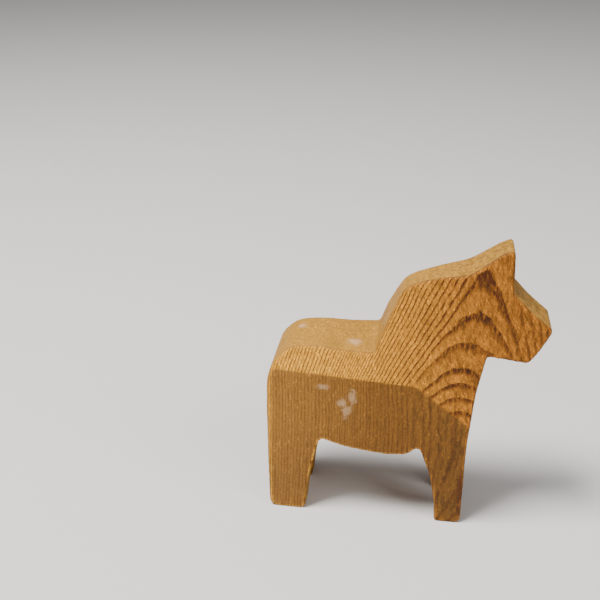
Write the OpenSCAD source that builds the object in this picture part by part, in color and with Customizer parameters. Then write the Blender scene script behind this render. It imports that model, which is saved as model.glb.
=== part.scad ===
// A dala horse in bare pine, cut from one block of wood with its grain running up the legs.
// +X is towards the nose, +Y is the horse's left side and +Z is up. The origin is on the floor, under the
// middle of the horse. All sizes are in millimetres.

/* [Block] */
// Length from the rump to the nose
horse_length = 92; // [88:0.5:98]
// Height from the floor to the tips of the ears
horse_height = 100; // [97:0.5:106]
// Thickness of the block, across the body
block_thickness = 27; // [25:0.5:30]

/* [Trunk and neck] */
// Height of the rump, at its highest point
rump_height = 65.8; // [62:0.1:69]
// How far the back dips between the rump and the withers
back_dip = 1.1; // [0:0.1:2]
// Distance from the rump to the corner where the neck rises
withers_from_rump = 36.2; // [33:0.1:40]
// Distance from the rump to the top rear corner of the neck
crest_from_rump = 44.2; // [42:0.1:47]
// Height of the top rear corner of the neck
crest_height = 86.2; // [83:0.1:89]
// Distance from the rump to the front of the chest
chest_from_rump = 68.3; // [65:0.1:71]

/* [Head] */
// Height of the top of the neck, just behind the ears
poll_height = 92.2; // [90:0.1:94]
// Height of the corner between the ears and the forehead
forehead_height = 86.3; // [84:0.1:89]
// Height of the tip of the nose
nose_height = 74.3; // [72:0.1:77]
// Height of the chin
chin_height = 62.8; // [60:0.1:65]

/* [Legs] */
// Length of a rear foot, from heel to toe
rear_foot_length = 12.8; // [10:0.1:15]
// Length of a front foot, from heel to toe
front_foot_length = 9.3; // [8:0.1:12]
// Height of the two corners of the arch between the legs
arch_height = 30.5; // [28:0.1:33]
// How far the belly hangs below those corners
belly_drop = 4.6; // [2:0.1:6]
// Width of the gap between the left and the right legs
leg_gap = 10; // [6:0.1:12]
// Height of the top of that gap
leg_gap_height = 25; // [20:0.5:28]

/* [Right side cuts] */
// Height on the rump where the long cut over the back and the neck starts
long_cut_height = 56.9; // [52:0.1:62]
// Lean of that cut, from upright
long_cut_lean = 9.4; // [5:0.1:13]
// How much its lower edge drops towards the front, in degrees
long_cut_drop = 3.5; // [0:0.5:8]
// Lean of the cut along the chest and the head, from upright
right_head_lean = 9; // [5:0.5:11]
// Slope of the lower edge of that cut, down towards the chest
right_head_drop = 37; // [25:1:50]

/* [Left side cuts] */
// Lean of the cut along the back, from upright
back_cut_lean = 7; // [3:0.5:9]
// Height on the rump where the cut over the rump starts
rump_cut_height = 48.9; // [46:0.1:54]
// Lean of the cut over the rump, from upright
rump_cut_lean = 22; // [14:0.5:28]
// Slope of its lower edge, up towards the withers
rump_cut_rise = 20; // [14:0.5:26]
// Lean of the cut that thins the crest of the neck, from upright
crest_cut_lean = 43; // [35:0.5:50]
// Slope of its lower edge, up towards the ears
crest_cut_rise = 30; // [28:0.5:38]
// Lean of the cut along the chest and the head, from upright
left_head_lean = 7; // [4:0.5:9]
// Slope of the lower edge of that cut, down towards the chest
left_head_drop = 76; // [50:1:80]

/* [Edges] */
// Rounding of the two upright edges of the rump
rump_edge_radius = 2; // [0.5:0.1:4]

/* [Hidden] */

ARC_STEP = 6;        // turn of one step along a rounded corner, in degrees
PAST = 1;            // how far a cut runs past what it cuts
EARTIP_FROM_NOSE = 13.9;
SHOULDER = [49.7, 54]; // where the long cut, the cut along the head and the flat side meet
CREST_CUT_START = [4.7, 16]; // the low end of the crest's cut, ahead of the withers and below the crest
CUTTER = 3 * horse_height;

// The side outline, from the rear heel and round the feet, the belly, the chest, the head and the back.
// Each corner is [distance from the rump, height, radius of its rounding].
toe_x = 0.9 + rear_foot_length;
heel_x = chest_from_rump + 0.2 - front_foot_length;
eartip_x = horse_length - EARTIP_FROM_NOSE;
OUTLINE = [
    // rear leg
    [0.7, 0, 3],
    [toe_x, 0, 1.8],
    [toe_x + 1.3, 14, 40],
    [18.6, arch_height, 1.6],
    // belly
    [27, arch_height - 0.6 * belly_drop, 60],
    [41, arch_height - 0.98 * belly_drop, 40],
    [48.6, arch_height - 0.85 * belly_drop, 12],
    // front leg and chest
    [52.3, arch_height, 1.3],
    [heel_x - 2.6, 19.5, 30],
    [heel_x, 6, 30],
    [heel_x, 0, 1],
    [chest_from_rump + 0.2, 0, 2.2],
    [chest_from_rump - 0.1, 32, 90],
    [chest_from_rump + 1.5, 52, 60],
    // head
    [chest_from_rump + 4, chin_height + 2.1, 0.6],
    [horse_length - 6.6, chin_height, 2],
    [horse_length - 3.2, nose_height - 7, 30],
    [horse_length + 0.42, nose_height, 1.6],
    [horse_length - 6, 0.42 * forehead_height + 0.58 * nose_height, 30],
    [eartip_x + 0.7, forehead_height, 0.5],
    [eartip_x, horse_height + 0.55, 1.4],
    [eartip_x - 4, horse_height - 1, 6],
    // neck
    [65, poll_height, 8],
    [54.5, poll_height - 1.7, 50],
    [crest_from_rump + 3.4, crest_height + 2.3, 8],
    [crest_from_rump, crest_height, 6],
    [withers_from_rump + 4.2, rump_height + 11.6, 60],
    [withers_from_rump, rump_height - back_dip, 1.6],
    // back and rump
    [27, rump_height - back_dip - 0.1, 60],
    [16, rump_height + 0.2, 40],
    [7.6, rump_height - 0.9, 9],
    [2.2, rump_height - 7, 12],
    [0, 51, 30],
    [0, 36, 200]
];

// The points that replace corner b, between a and c, by an arc of radius r. The arc is shortened where the
// corners are too near each other for the full radius.
function rounded_corner(a, b, c, r) =
    let (
        to_a = (a - b) / norm(a - b),
        to_c = (c - b) / norm(c - b),
        inner = acos(max(-1, min(1, to_a * to_c))),
        room = 0.45 * min(norm(a - b), norm(c - b)),
        back = min(room, r / tan(inner / 2)),
        radius = back * tan(inner / 2),
        middle = b + (to_a + to_c) / norm(to_a + to_c) * radius / sin(inner / 2),
        start = b + to_a * back - middle,
        side = (to_a.x * to_c.y - to_a.y * to_c.x) > 0 ? -1 : 1,
        turn = 180 - inner,
        steps = max(1, ceil(turn / ARC_STEP))
    )
    [for (i = [0 : steps])
        let (g = side * turn * i / steps)
        middle + [start.x * cos(g) - start.y * sin(g), start.x * sin(g) + start.y * cos(g)]
    ];

// The whole outline with every corner rounded, measured from the middle of the horse's length.
function rounded_outline(corners) =
    let (count = len(corners))
    [for (i = [0 : count - 1])
        let (
            a = corners[(i + count - 1) % count],
            b = corners[i],
            c = corners[(i + 1) % count]
        )
        each [for (p = rounded_corner([a.x, a.y], [b.x, b.y], [c.x, c.y], b[2]))
            [p.x - horse_length / 2, p.y]]
    ];

// The block sawn to the side outline.
module sawn_blank() {
    rotate([90, 0, 0])
        linear_extrude(block_thickness, center = true)
            polygon(rounded_outline(OUTLINE));
}

// The wood that one flat cut takes off the right side. The cut meets the side of the block in a line
// through (x, z) that climbs forward by rise degrees, and leans inwards from there by lean degrees.
module flat_cut(x, z, rise, lean) {
    translate([x - horse_length / 2, -block_thickness / 2, z])
        rotate([0, -rise, 0])
            rotate([-lean, 0, 0])
                translate([-CUTTER / 2, -CUTTER, -CUTTER / 2])
                    cube(CUTTER);
}

// The part of the right half that lies between two distances from the rump.
module right_half(from, to) {
    translate([from - horse_length / 2, -block_thickness, 0])
        cube([to - from, 2 * block_thickness, horse_height + PAST]);
}

// The right side has two cuts: a long one over the rump, the back and the neck, and one along the head.
module right_side_cuts() {
    flat_cut(0, long_cut_height, -long_cut_drop, long_cut_lean);
    flat_cut(SHOULDER.x, SHOULDER.y, -right_head_drop, right_head_lean);
}

// The left side has four: along the back, down the head, over the rump and over the crest of the neck. The
// last two each stop at the withers. They are drawn on the right and mirrored.
module left_side_cuts() {
    mirror([0, 1, 0]) {
        flat_cut(0, long_cut_height, -long_cut_drop, back_cut_lean);
        flat_cut(SHOULDER.x, SHOULDER.y, -left_head_drop, left_head_lean);
        intersection() {
            flat_cut(0, rump_cut_height, rump_cut_rise, rump_cut_lean);
            right_half(-PAST, withers_from_rump);
        }
        intersection() {
            flat_cut(
                withers_from_rump + CREST_CUT_START.x,
                crest_height - CREST_CUT_START.y,
                crest_cut_rise,
                crest_cut_lean
            );
            right_half(withers_from_rump, horse_length + PAST);
        }
    }
}

// The space that a block of the same size fills when the two upright edges of its rump are rounded.
module rounded_rump_block() {
    width = block_thickness - 2 * rump_edge_radius;
    translate([-horse_length / 2, 0, -PAST])
        linear_extrude(horse_height + 2 * PAST) {
            translate([rump_edge_radius, -block_thickness / 2])
                square([horse_length, block_thickness]);
            translate([0, -width / 2])
                square([horse_length, width]);
            for (side = [-1, 1])
                translate([rump_edge_radius, side * width / 2])
                    circle(rump_edge_radius, $fn = 48);
        }
}

// The gap from front to back that parts the left legs from the right ones, with a round top.
module leg_gap_cut() {
    radius = leg_gap / 2;
    top = leg_gap_height - radius;
    translate([-horse_length / 2 - PAST, 0, 0])
        rotate([90, 0, 90]) {
            linear_extrude(horse_length + 2 * PAST)
                translate([-radius, -PAST])
                    square([leg_gap, top + PAST]);
            translate([0, top, 0])
                cylinder(r = radius, h = horse_length + 2 * PAST, $fn = 64);
        }
}

module carved_horse() {
    color([0.72, 0.52, 0.31])
        difference() {
            intersection() {
                sawn_blank();
                rounded_rump_block();
            }
            right_side_cuts();
            left_side_cuts();
            leg_gap_cut();
        }
}

carved_horse();
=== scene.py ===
# %% [markdown]
# # A dala horse in bare pine
#
# The horse is one piece of wood. A blank is sawn to the side outline, the gap between the legs is cut
# out, and flat cuts thin the back, the neck and the head. Nothing is glued on, so there is one piece to
# make here. The solid with its true sizes comes in as the frame. This lesson gives it worn edges and
# marks of the tools, and a material that is wood right through, so that the growth rings run on from one
# cut face to the next.

import math

import bmesh
import bpy
import numpy as np
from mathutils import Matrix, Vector


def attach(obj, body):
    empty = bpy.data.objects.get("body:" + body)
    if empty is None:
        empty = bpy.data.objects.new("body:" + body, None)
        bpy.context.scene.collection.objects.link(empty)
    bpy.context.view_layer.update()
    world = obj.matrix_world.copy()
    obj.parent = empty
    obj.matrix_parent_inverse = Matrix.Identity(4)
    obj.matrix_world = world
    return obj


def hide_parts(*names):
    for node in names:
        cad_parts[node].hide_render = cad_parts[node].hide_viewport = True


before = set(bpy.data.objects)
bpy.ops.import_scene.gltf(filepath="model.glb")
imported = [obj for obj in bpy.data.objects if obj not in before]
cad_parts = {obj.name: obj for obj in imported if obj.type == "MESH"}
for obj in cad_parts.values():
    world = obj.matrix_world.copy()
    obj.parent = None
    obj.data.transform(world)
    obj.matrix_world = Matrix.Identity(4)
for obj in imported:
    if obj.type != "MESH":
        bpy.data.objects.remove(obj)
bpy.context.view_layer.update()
MM = 0.001

# %% [markdown]
# ## The camera
#
# The camera stands straight out from the horse's right side and above it. It is turned a little towards
# the rump, so the horse lies to the right of the middle of the view. An empty could hold the aim, but a
# direction worked out from two angles is exact and needs no constraint. The camera's place is measured
# from the middle of the horse's footprint.

# %% Place the camera
CAMERA_PLACE = Vector((3.9, -265.0, 206.3)) * MM
CAMERA_TURN = math.radians(8.6)
CAMERA_DIP = math.radians(25.9)
CAMERA_LENS = 53.34


def add_camera():
    """Aims the camera along (-sin turn cos dip, cos turn cos dip, -sin dip), with its top edge level."""
    camera = bpy.data.objects.new("studio_camera", bpy.data.cameras.new("studio_camera"))
    camera.data.lens = CAMERA_LENS
    camera.data.sensor_width = 36
    camera.data.clip_start = 10 * MM
    aim = Vector(
        (
            -math.sin(CAMERA_TURN) * math.cos(CAMERA_DIP),
            math.cos(CAMERA_TURN) * math.cos(CAMERA_DIP),
            -math.sin(CAMERA_DIP),
        )
    )
    camera.location = CAMERA_PLACE
    camera.rotation_euler = aim.to_track_quat("-Z", "Y").to_euler()
    bpy.context.scene.collection.objects.link(camera)
    bpy.context.scene.camera = camera
    return camera


camera = add_camera()
print("camera stands at, in mm:", [round(x / MM, 1) for x in camera.location])

# %% [markdown]
# ## An even mesh to work on
#
# The solid has large flat faces with corners only at their edges, so there is nothing in the middle of a
# face that could carry a hollow or a dent. Subdividing it would leave long slivers. A voxel remesh lays a
# grid of nearly equal squares over the whole skin, and Shrinkwrap puts that grid back on the true faces,
# because the voxels alone are slightly off on slanted cuts.

# %% Cover the solid with an even grid
GRID_STEP = 0.46 * MM


def even_copy(node, name, step):
    """A copy of node's skin as a grid of squares about step wide, with every point on the true skin."""
    merged = node.data.copy()
    work = bmesh.new()
    work.from_mesh(merged)
    bmesh.ops.remove_doubles(work, verts=work.verts, dist=1e-6)
    work.to_mesh(merged)
    work.free()
    draft = bpy.data.objects.new(name + "_draft", merged)
    bpy.context.scene.collection.objects.link(draft)
    grid = draft.modifiers.new("grid", "REMESH")
    grid.mode = "VOXEL"
    grid.voxel_size = step
    snap = draft.modifiers.new("snap", "SHRINKWRAP")
    snap.target = node
    snap.wrap_method = "NEAREST_SURFACEPOINT"
    depsgraph = bpy.context.evaluated_depsgraph_get()
    mesh = bpy.data.meshes.new_from_object(draft.evaluated_get(depsgraph))
    bpy.data.objects.remove(draft)
    piece = bpy.data.objects.new(name, mesh)
    piece.data.materials.clear()
    bpy.context.scene.collection.objects.link(piece)
    return piece


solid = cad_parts["carved_horse"]
horse = even_copy(solid, "pine_horse", GRID_STEP)
print("grid points:", len(horse.data.vertices), "faces:", len(horse.data.polygons))


# %% Read and write whole arrays of points
def read_points(mesh):
    """The mesh's points as an array, one row per point, in millimetres."""
    flat = np.empty(len(mesh.vertices) * 3, np.float32)
    mesh.vertices.foreach_get("co", flat)
    return flat.reshape(-1, 3).astype(float) / MM


def write_points(mesh, points):
    """Puts an array of points, in millimetres, into the mesh."""
    mesh.vertices.foreach_set("co", (points * MM).astype(np.float32).ravel())
    mesh.update()


def read_normals(mesh):
    """The direction in which the skin faces at each point."""
    flat = np.empty(len(mesh.vertices) * 3, np.float32)
    mesh.vertex_normals.foreach_get("vector", flat)
    return flat.reshape(-1, 3).astype(float)


points = read_points(horse.data)
print("lowest and highest point, in mm:", points.min(0).round(2), points.max(0).round(2))

# %% [markdown]
# ## Worn edges
#
# Handling rounds every edge of a bare wooden toy by a few tenths of a millimetre. A Bevel modifier needs
# clean edges to work on, and a grid has none. Relaxing does it instead: each point moves towards the
# middle of its neighbours. On a flat face that changes nothing, and at an edge it draws the corner in.
# The amount that a point has moved is kept, because the same edges are where the wood is rubbed pale, a tint
# that is partly real wear and partly a painted highlight along the edge.


# %% Relax the points and keep how far they moved
def relax(mesh, points, rounds):
    """Moves every point half way to the mean of its neighbours, this many times."""
    ends = np.empty(len(mesh.edges) * 2, np.int32)
    mesh.edges.foreach_get("vertices", ends)
    a, b = ends.reshape(-1, 2).T
    count = np.bincount(ends, minlength=len(points))[:, None]
    for _ in range(rounds):
        sums = [
            np.bincount(a, points[b, axis], len(points)) + np.bincount(b, points[a, axis], len(points))
            for axis in range(3)
        ]
        total = np.column_stack(sums)
        points = 0.5 * points + 0.5 * total / count
    return points


WEAR_ROUNDS = 6
WEAR_LIMIT = 0.32

relaxed = relax(horse.data, points, WEAR_ROUNDS)
move = relaxed - points
distance = np.linalg.norm(move, axis=1)
kept_share = np.minimum(1, WEAR_LIMIT / np.maximum(distance, 1e-9))
points = points + move * kept_share[:, None]
write_points(horse.data, points)
wear = np.clip(distance / WEAR_LIMIT, 0, 1)
print("points on worn edges:", int((wear > 0.3).sum()), "farthest move, in mm:", distance.max().round(2))

# %% [markdown]
# ## What the tools left
#
# No cut made by hand is dead flat. The sides keep shallow waves from the belt, and the sawn rim keeps the
# faint washboard of the saw, with its ridges straight across the thickness. These are real shapes, so
# they go into the mesh and not only into the material. They are means of a few sine waves, and they only
# go inwards, so that the horse never grows past its solid. The soles of the feet stay flat.


# %% Add the waves of the belt and the saw
def step(value, start, end):
    """A smooth step, 3t^2 - 2t^3, where t runs from 0 at start to 1 at end."""
    t = np.clip((value - start) / (end - start), 0, 1)
    return t * t * (3 - 2 * t)


def waves(points, length, count, seed):
    """The mean of count sine waves, each sin(2 pi d.p / length + phase) in a direction d of its own."""
    draw = np.random.default_rng(seed)
    directions = draw.normal(size=(count, 3))
    directions /= np.linalg.norm(directions, axis=1)[:, None]
    lengths = length * draw.uniform(0.7, 1.5, count)
    phases = draw.uniform(0, 2 * math.pi, count)
    return np.sin(points @ (directions / lengths[:, None]).T * 2 * math.pi + phases).mean(axis=1)


SAW_ACROSS = (1, 0.06, 1)
MEAN_DEPTH = 0.06

normals = read_normals(horse.data)
sideways = np.abs(normals[:, 1])
on_side = step(sideways, 0.6, 0.9)
on_rim = 1 - step(sideways, 0.15, 0.45)
on_cut = on_side * step(1 - sideways, 0.002, 0.006)
above_floor = step(points[:, 2], 0.6, 2.5)
long_waves = waves(points, length=17, count=7, seed=3)
short_waves = waves(points, length=6, count=7, seed=4)
belt_waves = 0.10 * long_waves + 0.05 * short_waves
sawn = points * SAW_ACROSS
fine_ridges = waves(sawn, length=2.6, count=6, seed=5)
broad_ridges = waves(sawn, length=9, count=5, seed=6)
saw_ridges = 0.07 * fine_ridges + 0.08 * broad_ridges
height = (on_side * belt_waves + on_rim * saw_ridges - MEAN_DEPTH) * above_floor
points = points + normals * np.minimum(height, 0)[:, None]
write_points(horse.data, points)
print("waves, lowest and highest in mm:", height.min().round(3), height.max().round(3))


# %% Store where the faces are, for the material
def store(mesh, name, values):
    """Keeps one number per point under a name that a material can read."""
    layer = mesh.attributes.new(name, "FLOAT", "POINT")
    layer.data.foreach_set("value", values.astype(np.float32))


store(horse.data, "worn_edge", wear)
store(horse.data, "flat_cut", on_cut)
store(horse.data, "sawn_rim", on_rim)
print("share of points on the cuts:", on_cut.mean().round(3), "on the rim:", on_rim.mean().round(3))

# %% [markdown]
# ## Pine, right through
#
# A tree grows a pale, soft layer each spring and a thin, dark, hard one each summer, as rings around its
# heart. The horse was cut from one side of a tree, with the heart about thirteen centimetres out from its
# right flank and almost upright. So the pattern isn't painted on each face. The material works out how
# far each point lies from the heart of the tree, turns that into a ring number, and colours it by the
# place within its ring. Where a cut changes direction, the lines then change direction by themselves, as
# they do on real wood.


# %% A helper that writes a material as a recipe
class Recipe:
    """One material. Each call adds a node, fills its sockets in order and gives back its first output."""

    def __init__(self, name):
        self.material = bpy.data.materials.new(name)
        self.material.use_nodes = True
        self.tree = self.material.node_tree
        self.tree.nodes.clear()

    def add(self, kind, *inputs, **settings):
        node = self.tree.nodes.new(kind)
        for key, value in settings.items():
            setattr(node, key, value)
        for socket, value in zip(node.inputs, inputs):
            self.fill(socket, value)
        return node.outputs[0] if node.outputs else None

    def fill(self, socket, value):
        if isinstance(value, bpy.types.NodeSocket):
            self.tree.links.new(value, socket)
        elif value is not None:
            socket.default_value = value

    def math(self, operation, *inputs):
        return self.add("ShaderNodeMath", *inputs, operation=operation)

    def vector(self, operation, *inputs):
        return self.add("ShaderNodeVectorMath", *inputs, operation=operation)

    def parts(self, place):
        node = self.add("ShaderNodeSeparateXYZ", place).node
        return node.outputs[0], node.outputs[1], node.outputs[2]

    def dot(self, a, b):
        node = self.vector("DOT_PRODUCT", a, b).node
        return node.outputs["Value"]

    def around(self, value, swing):
        """A factor near 1 that follows value, which runs from 0 to 1: 1 + swing (value - 0.5)."""
        return self.math("MULTIPLY_ADD", value, swing, 1 - swing / 2)

    def product(self, *factors):
        result = factors[0]
        for factor in factors[1:]:
            result = self.math("MULTIPLY", result, factor)
        return result

    def length(self, value):
        node = self.vector("LENGTH", value).node
        return node.outputs["Value"]

    def noise(self, place, size, detail=2.0, roughness=0.5):
        """Soft noise from 0 to 1 whose lumps are about size millimetres wide."""
        return self.add("ShaderNodeTexNoise", place, None, 1 / size, detail, roughness)

    def stretch(self, place, across, along):
        """The place with its third axis shrunk, so that noise of size across is as long as along."""
        return self.vector("MULTIPLY", place, (1, 1, across / along))

    def rise(self, value, start, end, low=0.0, high=1.0):
        """low before start, high after end, and a smooth step between them."""
        settings = {"interpolation_type": "SMOOTHSTEP"}
        return self.add("ShaderNodeMapRange", value, start, end, low, high, **settings)

    def attribute(self, name):
        node = self.add("ShaderNodeAttribute", attribute_name=name).node
        return node.outputs["Fac"]

    def tint(self, share, under, over):
        """Colour under with this share of colour over on top."""
        node = self.tree.nodes.new("ShaderNodeMix")
        node.data_type = "RGBA"
        for name, value in (("Factor_Float", share), ("A_Color", under), ("B_Color", over)):
            socket = next(s for s in node.inputs if s.identifier == name)
            self.fill(socket, (*value, 1) if isinstance(value, tuple) else value)
        return next(s for s in node.outputs if s.identifier == "Result_Color")

    def curve(self, value, corners):
        """A smooth curve through the corners (value, result), carried on straight past both ends."""
        node = self.tree.nodes.new("ShaderNodeFloatCurve")
        (x0, y0), (x1, y1) = corners[0], corners[-1]
        line = node.mapping.curves[0]
        line.points[0].location = (0, 0)
        line.points[1].location = (1, 1)
        for x, y in corners[1:-1]:
            line.points.new((x - x0) / (x1 - x0), (y - y0) / (y1 - y0))
        node.mapping.extend = "EXTRAPOLATED"
        node.mapping.update()
        part = self.math("DIVIDE", self.math("SUBTRACT", value, x0), x1 - x0)
        self.fill(node.inputs["Value"], part)
        return self.math("ADD", self.math("MULTIPLY", node.outputs[0], y1 - y0), y0)


# %% [markdown]
# ### Where a point lies in the tree
#
# The heart of a tree is never quite straight, so its place is a short formula of the height. The distance
# to it, with a little noise because no trunk is a perfect cylinder, gives the ring number. Rings are
# narrow in lean years and wide in good ones, so the number comes from a curve of (distance, number).

# %% Ring number
RING_AT = [
    (125, -14.1),
    (131.0, -0.1),
    (131.6, 0.9),
    (132.5, 2.9),
    (132.9, 3.9),
    (133.5, 4.9),
    (134.3, 6.9),
    (137.4, 15.7),
    (142, 30),
    (146, 38.1),
    (180, 104),
]
HEART_X = (31.2, 2.66, 3.36)
HEART_Y = (-144.1, 1.43, 2.67)
MID_HEIGHT = 45
HEIGHT_UNIT = 50


def bowed(wood, h, bow):
    """a + b h + c h^2, for a bow of (a, b, c)."""
    a, b, c = bow
    return wood.math("MULTIPLY_ADD", h, wood.math("MULTIPLY_ADD", h, c, b), a)


def ring_number(wood, place):
    """The number of the ring at this place, from its level distance to the heart. The heart stands at
    (HEART_X, HEART_Y), each bowed over h = (z - MID_HEIGHT) / HEIGHT_UNIT."""
    z = wood.parts(place)[2]
    h = wood.math("MULTIPLY_ADD", z, 1 / HEIGHT_UNIT, -MID_HEIGHT / HEIGHT_UNIT)
    heart = wood.add("ShaderNodeCombineXYZ", bowed(wood, h, HEART_X), bowed(wood, h, HEART_Y), 0.0)
    away = wood.vector("MULTIPLY", wood.vector("SUBTRACT", place, heart), (1, 1, 0))
    slow = wood.noise(wood.stretch(place, 26, 80), 26, 1.0)
    quick = wood.noise(wood.stretch(place, 2.5, 7), 2.5, 2.0)
    bend = wood.math("MULTIPLY_ADD", slow, 0.25, wood.math("MULTIPLY_ADD", quick, 0.11, -0.18))
    return wood.curve(wood.math("ADD", wood.length(away), bend), RING_AT)


# %% [markdown]
# ### From ring to colour
#
# Within a ring the wood goes slowly from pale to brown and then jumps back to pale. Some years are darker
# than others. On the flat cuts the rings show most, and a second set of fine grooves from the belt
# crosses them and breaks them into dashes. The ends of the fibres show on the sawn rim, where the rings
# all but vanish.
#
# The colours of the cuts are about two to two and a half times as bright as those of the flanks, and the
# front is darker than the rear. Bare wood isn't like that by itself. On a dark ground a raking lamp
# leaves the flanks in shade, and the pale floor of this studio fills that shade with light, so nearly all
# of the step in tone is painted shade in the colours of the flanks. The front is darker partly because the
# wood is warmer there and partly as painted shade on the head, which a lamp from the rear leaves darker.
# For another studio, bring the two pairs of colours together.

# %% Colours of the pine
# Painted shade: the flank colours are darker than the cut colours, and the front colours are darker than the
# rear ones partly by painted shade.
FLANK_REAR = (0.33, 0.150, 0.026)
FLANK_FRONT = (0.205, 0.084, 0.010)
CUT_REAR = (0.84, 0.385, 0.036)
CUT_FRONT = (0.43, 0.152, 0.013)
SUMMER_REAR = (0.13, 0.042, 0.006)
SUMMER_FRONT = (0.078, 0.018, 0.002)
END_WOOD = (0.34, 0.168, 0.023)
RUBBED_AND_HIGHLIGHT = (0.55, 0.27, 0.07)
CHALK = (0.50, 0.31, 0.16)


# %% The layers of the wood
def summer_share(wood, place, number):
    """How much summer wood shows here, from 0 to 1, before the face and the grooves have their say."""
    within = wood.math("FRACT", number)
    year = wood.add("ShaderNodeTexWhiteNoise", None, wood.math("FLOOR", number), noise_dimensions="1D")
    late = wood.math("MULTIPLY", wood.rise(within, 0.44, 0.86), wood.rise(within, 0.94, 1.0, 1.0, 0.0))
    strength = wood.math("MULTIPLY_ADD", year, 0.25, 0.9)
    broken = wood.rise(wood.noise(wood.stretch(place, 0.8, 2.6), 0.8, 2.0), 0.34, 0.54, 0.45, 1.0)
    return wood.math("MULTIPLY", wood.math("MULTIPLY", late, strength), broken)


# %% The grooves of the belt
BELT_ACROSS = (0.868, 0.0, 0.496)
BELT_ALONG = (0.05, 0.0, -0.087)


def belt_grooves(wood, place):
    """The fine grooves of the belt, 1 in a groove and 0 between. They are noise drawn out ten times along the
    belt, so no two are alike."""
    across = wood.dot(place, BELT_ACROSS)
    along = wood.dot(place, BELT_ALONG)
    drawn = wood.add("ShaderNodeCombineXYZ", across, along, 0.0)
    return wood.rise(wood.noise(drawn, 0.55, 2.0, 0.6), 0.46, 0.60)


# %% Ragged spots
TEAR = 2.6


def patch(wood, place, centre, size):
    """A ragged spot: 1 near centre and 0 past size, both in millimetres, with an edge torn by noise."""
    off = wood.vector("DIVIDE", wood.vector("SUBTRACT", place, centre), size)
    torn = wood.math("MULTIPLY", wood.math("SUBTRACT", wood.noise(place, 1.3, 4.0, 0.75), 0.5), TEAR)
    return wood.rise(wood.math("ADD", wood.length(off), torn), 0.2, 1.05, 1.0, 0.0)


# %% Where the smudges and the dark patches are
SMUDGES = [
    ((-26.4, -13.5, 51.2), (2.6, 4, 1.5)),
    ((-18.6, -13.5, 42.6), (2.0, 4, 3.8)),
    ((-20.0, -13.5, 45.4), (2.2, 4, 1.9)),
    ((-16.6, -13.5, 48.0), (1.9, 4, 3.8)),
    ((-16.9, -5.0, 64.7), (3.0, 3, 4)),
    ((-35.8, 2.7, 65.2), (2.0, 2, 4)),
]
# Darker spots in the colour of the front summer wood: a streak at the front edge of the front leg, a patch
# under the ear base and a small nick.
DARK_PATCHES = [
    ((21.2, -13.5, 13.0), (1.2, 4, 11.5)),
    ((24.6, -8.5, 92.0), (3.4, 4, 2.8)),
    ((1.4, -13.5, 37.3), (0.9, 4, 0.7)),
]
SMUDGE_COVER = 0.75
DARK_PATCH_COVER = 0.7
RUB_AND_HIGHLIGHT_COVER = 0.22


def marked(wood, place, colour, worn):
    """The colour with dark patches, then smudges of chalk, then rubbed edges laid over it, their pale tint
    partly wear and partly a painted highlight.
    """
    for centre, size in DARK_PATCHES:
        dark_patch = wood.math("MULTIPLY", patch(wood, place, centre, size), DARK_PATCH_COVER)
        colour = wood.tint(dark_patch, colour, SUMMER_FRONT)
    for centre, size in SMUDGES:
        smudge = wood.math("MULTIPLY", patch(wood, place, centre, size), SMUDGE_COVER)
        colour = wood.tint(smudge, colour, CHALK)
    # Rubbed edges: paler partly from real wear and partly as a painted highlight along the rounded edges.
    return wood.tint(wood.math("MULTIPLY", wood.rise(worn, 0.5, 1.0), RUB_AND_HIGHLIGHT_COVER), colour, RUBBED_AND_HIGHLIGHT)


# %% [markdown]
# ### Putting the layers together
#
# Each layer is a share from 0 to 1 that says where something shows: the rings, the grooves, the fibres.
# Mixing them in a fixed order keeps the recipe short: first the rings in their two colours, then the end
# grain on the rim, then all the fine shading as one factor, and the marks last, because they lie on top
# of the wood.


# %% How much of the rings each face shows
def shown_summer(wood, place, rim, cut, groove):
    """The summer wood that shows: most on the cuts, less on the flanks, in the grooves and towards the nose,
    and very little on the rim."""
    on_face = wood.product(
        wood.math("MULTIPLY_ADD", cut, 0.55, 0.45),
        wood.math("MULTIPLY_ADD", rim, -0.8, 1.0),
        wood.math("MULTIPLY_ADD", groove, -0.35, 1.0),
        wood.rise(wood.parts(place)[0], 28, 37, 1.0, 0.6),
    )
    return wood.math("MULTIPLY", summer_share(wood, place, ring_number(wood, place)), on_face)


def ring_colour(wood, place, cloud, rim, cut, summer):
    """The colour of the rings, warmer and darker towards the front, the darkness partly painted shade, with
    painted shade on the flanks and end grain on the rim.
    """
    ahead = wood.math("MULTIPLY_ADD", cloud, 12, wood.parts(place)[0])
    forward = wood.rise(ahead, -26, 34)
    flank = wood.tint(wood.rise(ahead, -40, 6), FLANK_REAR, FLANK_FRONT)
    pale = wood.tint(cut, flank, wood.tint(forward, CUT_REAR, CUT_FRONT))
    dark = wood.tint(forward, SUMMER_REAR, SUMMER_FRONT)
    return wood.tint(rim, wood.tint(summer, pale, dark), END_WOOD)


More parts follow.
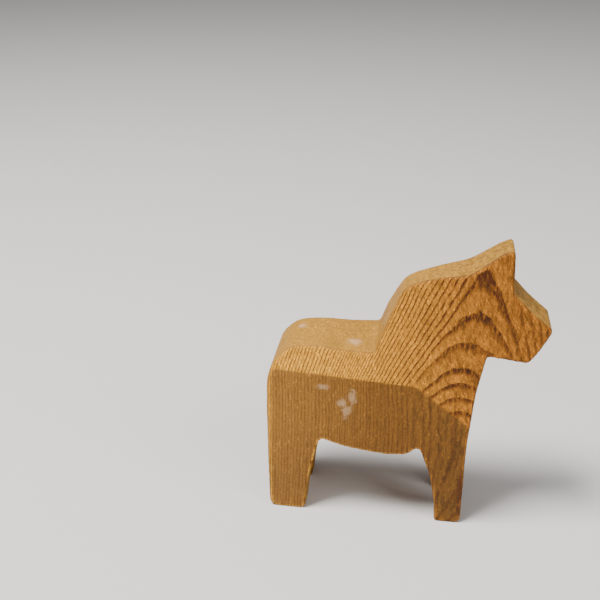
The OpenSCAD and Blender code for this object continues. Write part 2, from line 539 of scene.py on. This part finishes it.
# %% The fine shading
def fine_shade(wood, place, cloud, fibre, grain, groove):
    """One factor near 1 from all the small things: fibres, streaks, pale specks, dark ticks and the rest, and
    painted shade that darkens the lower part of the horse.
    """
    x, _, z = wood.parts(place)
    streak = wood.noise(wood.stretch(place, 1.5, 30), 1.5, 2.0, 0.6)
    tick = wood.noise(wood.stretch(place, 0.5, 2.2), 0.5, 1.0)
    speck = wood.noise(wood.stretch(place, 0.7, 1.1), 0.7, 2.0, 0.7)
    mottle = wood.rise(wood.noise(wood.stretch(place, 1.3, 5), 1.3, 3.0, 0.6), 0.46, 0.62)
    front_mottle = wood.math("MULTIPLY", mottle, wood.rise(x, -10, 22))
    return wood.product(
        wood.around(fibre, 1.0),
        wood.around(streak, 0.7),
        wood.around(cloud, 0.4),
        wood.around(grain, 0.75),
        wood.math("MULTIPLY_ADD", groove, -0.26, 1.0),
        wood.rise(tick, 0.30, 0.42, 0.78, 1.0),
        # Painted shade: darker towards the bottom, down to 0.8 at the feet.
        wood.rise(z, 8, 46, 0.8, 1.0),
        wood.math("MULTIPLY_ADD", front_mottle, -0.4, 1.0),
        wood.rise(speck, 0.59, 0.66, 1.0, 1.7),
    )


# %% The relief
RELIEF_DEPTH = 0.22 * MM


def wood_relief(wood, summer, groove, fibre, grain):
    """The bumps: fibres and grain stand up, and summer wood and grooves lie lower."""
    low = wood.math("MULTIPLY_ADD", groove, -0.5, wood.math("MULTIPLY", summer, -0.9))
    high = wood.math("MULTIPLY_ADD", fibre, 0.5, wood.math("MULTIPLY_ADD", grain, 0.5, low))
    bump = wood.add("ShaderNodeBump", 1.0, RELIEF_DEPTH)
    wood.fill(bump.node.inputs["Height"], high)
    return bump


# %% The pine
def make_pine():
    wood = Recipe("bare_pine")
    object_place = wood.add("ShaderNodeTexCoord").node.outputs["Object"]
    place = wood.vector("MULTIPLY", object_place, (1 / MM, 1 / MM, 1 / MM))
    rim = wood.attribute("sawn_rim")
    cut = wood.attribute("flat_cut")

    cloud = wood.noise(place, 9, 3.0, 0.6)
    fibre = wood.noise(wood.stretch(place, 0.28, 4.5), 0.28, 2.0, 0.6)
    grain = wood.noise(place, 0.45, 2.0, 0.6)
    grain = wood.tint(wood.math("MULTIPLY", rim, 0.7), grain, (0.5, 0.5, 0.5))
    groove = wood.math("MULTIPLY", belt_grooves(wood, place), cut)
    summer = shown_summer(wood, place, rim, cut, groove)

    colour = ring_colour(wood, place, cloud, rim, cut, summer)
    shade = fine_shade(wood, place, cloud, fibre, grain, groove)
    colour = wood.vector("MULTIPLY", colour, wood.add("ShaderNodeCombineXYZ", shade, shade, shade))
    colour = marked(wood, place, colour, wood.attribute("worn_edge"))

    shader = wood.tree.nodes.new("ShaderNodeBsdfPrincipled")
    wood.fill(shader.inputs["Base Color"], colour)
    wood.fill(shader.inputs["Roughness"], wood.rise(fibre, 0.2, 0.8, 0.68, 0.55))
    wood.fill(shader.inputs["Normal"], wood_relief(wood, summer, groove, fibre, grain))
    shader.inputs["Specular IOR Level"].default_value = 0.2
    wood.add("ShaderNodeOutputMaterial", shader.outputs[0])
    return wood.material


pine = make_pine()
horse.data.materials.append(pine)
print("nodes in the pine:", len(pine.node_tree.nodes))

# %% [markdown]
# ## The studio
#
# A pale floor, one soft lamp steeply above the rump and a little to the horse's right, one weak lamp
# ahead and to the right, and an even sky. The high lamp lights the top and the leaning cuts more than the
# upright flank, but the floor sends much of its light back up, so that step is small.


# %% Floor and lights
FLOOR_REACH = 4.0
FLOOR_COLOUR = (0.62, 0.61, 0.60)


def add_floor():
    floor_mesh = bpy.data.meshes.new("floor")
    reach = FLOOR_REACH
    corners = [(-reach, -reach, 0), (reach, -reach, 0), (reach, reach, 0), (-reach, reach, 0)]
    floor_mesh.from_pydata(corners, [], [(0, 1, 2, 3)])
    floor = bpy.data.objects.new("floor", floor_mesh)
    bpy.context.scene.collection.objects.link(floor)
    paint = Recipe("pale_floor")
    shader = paint.tree.nodes.new("ShaderNodeBsdfPrincipled")
    shader.inputs["Base Color"].default_value = (*FLOOR_COLOUR, 1)
    shader.inputs["Roughness"].default_value = 0.9
    paint.add("ShaderNodeOutputMaterial", shader.outputs[0])
    floor.data.materials.append(paint.material)
    return floor


def add_light(name, place, size, power, warmth):
    """A square light of this size in metres that shines from place at the middle of the horse."""
    light = bpy.data.lights.new(name, "AREA")
    light.shape = "SQUARE"
    light.size = size
    light.energy = power
    light.color = warmth
    lamp = bpy.data.objects.new(name, light)
    lamp.location = place
    lamp.rotation_euler = (Vector((0, 0, 0.05)) - Vector(place)).to_track_quat("-Z", "Y").to_euler()
    bpy.context.scene.collection.objects.link(lamp)
    return lamp


def add_sky(colour, strength):
    world = bpy.data.worlds.new("studio")
    world.use_nodes = True
    background = world.node_tree.nodes["Background"]
    background.inputs["Color"].default_value = (*colour, 1)
    background.inputs["Strength"].default_value = strength
    bpy.context.scene.world = world


add_floor()
add_light("high_light", (-0.36, -0.20, 1.0), 0.36, 25, (1, 0.97, 0.93))
add_light("front_light", (0.75, -0.45, 0.75), 0.5, 5.0, (1, 0.98, 0.95))
add_sky((0.95, 0.96, 1.0), 0.28)

# %% Finish
horse.data.shade_smooth()
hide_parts("carved_horse")
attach(horse, "root")
